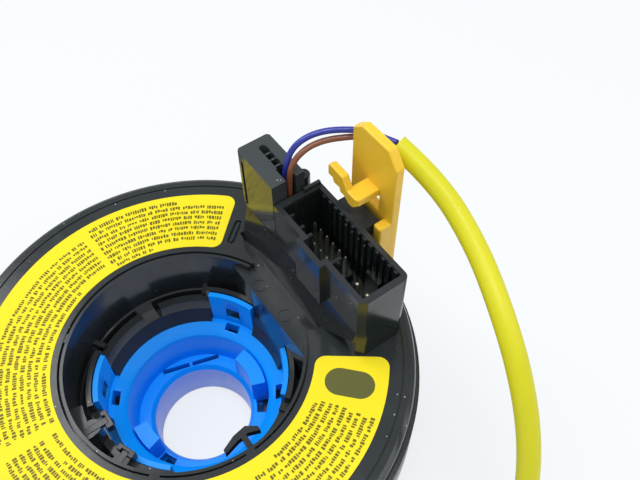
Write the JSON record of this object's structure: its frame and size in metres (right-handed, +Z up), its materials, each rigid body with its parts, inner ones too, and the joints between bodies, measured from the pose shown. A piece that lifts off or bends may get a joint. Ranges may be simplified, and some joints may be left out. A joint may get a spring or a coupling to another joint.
{
  "type": "steering clock spring",
  "caption": "Steering column clock spring with a blue cam hub, an upright connector, a yellow lock key and an airbag lead.",
  "frame": {"origin": "on the steering shaft's axis, in the plane of the column collar's foot that the unit stands on", "axes": "+Z up the steering shaft towards the wheel; +Y towards the upright connector; +X to the connector's right"},
  "size_m": [0.1427, 0.1123, 0.0863],
  "materials": {
    "case_plastic": "moulded black polyamide, satin",
    "cover_plastic": "moulded black, satin",
    "connector_plastic": "moulded black, satin",
    "carrier_plastic": "natural acetal",
    "hub_blue": "moulded blue acetal, satin",
    "label_yellow": "printed film",
    "key_yellow": "moulded amber yellow",
    "sleeve_yellow": "soft vinyl sleeve",
    "plug_yellow": "moulded yellow",
    "wire_blue": "wire insulation",
    "wire_brown": "wire insulation",
    "flat_cable": "copper strips in clear film",
    "pin_metal": "tin plate"
  },
  "bodies": {
    "stator": {"lower_case": "case_plastic", "column_connector": "case_plastic", "column_pins": "pin_metal", "column_squib_pins": "pin_metal", "column_terminal_block": "case_plastic", "flat_cable_outer": "flat_cable"},
    "carrier": {"cable_carrier": "carrier_plastic", "flat_cable_loop": "flat_cable"},
    "rotor": {"rotor_cover": "cover_plastic", "rotor_sleeve": "cover_plastic", "cam_ring": "hub_blue", "label": "label_yellow", "upper_connector": "connector_plastic", "terminal_box": "connector_plastic", "wire_clip": "cover_plastic", "lead_frame": "case_plastic", "inner_terminal_block": "case_plastic", "flat_cable_inner": "flat_cable", "signal_pins": "pin_metal", "power_pins": "pin_metal", "pin_insert": "connector_plastic", "wire_blue": "wire_blue", "wire_brown": "wire_brown", "lead_sleeve": "sleeve_yellow", "lead_plug": "plug_yellow", "lead_plug_contacts": "pin_metal"},
    "lock": {"lock_key": "key_yellow"}
  },
  "joints": [
    {"name": "rotor_spin", "type": "hinge", "parent": "stator", "child": "rotor", "pos_m": [0, 0, 0.022], "axis": [0, 0, 1], "range_deg": [-900, 900]},
    {"name": "carrier_spin", "type": "hinge", "parent": "stator", "child": "carrier", "pos_m": [0, 0, 0.0293], "axis": [0, 0, 1], "range_deg": [-370, 370]},
    {"name": "lock_pull", "type": "slide", "parent": "rotor", "child": "lock", "axis": [0, 0, 1], "range_m": [0, 0.028]}
  ],
  "couplings": [
    {"joint": "carrier_spin", "follows": "rotor_spin", "ratio": 0.41}
  ]
}
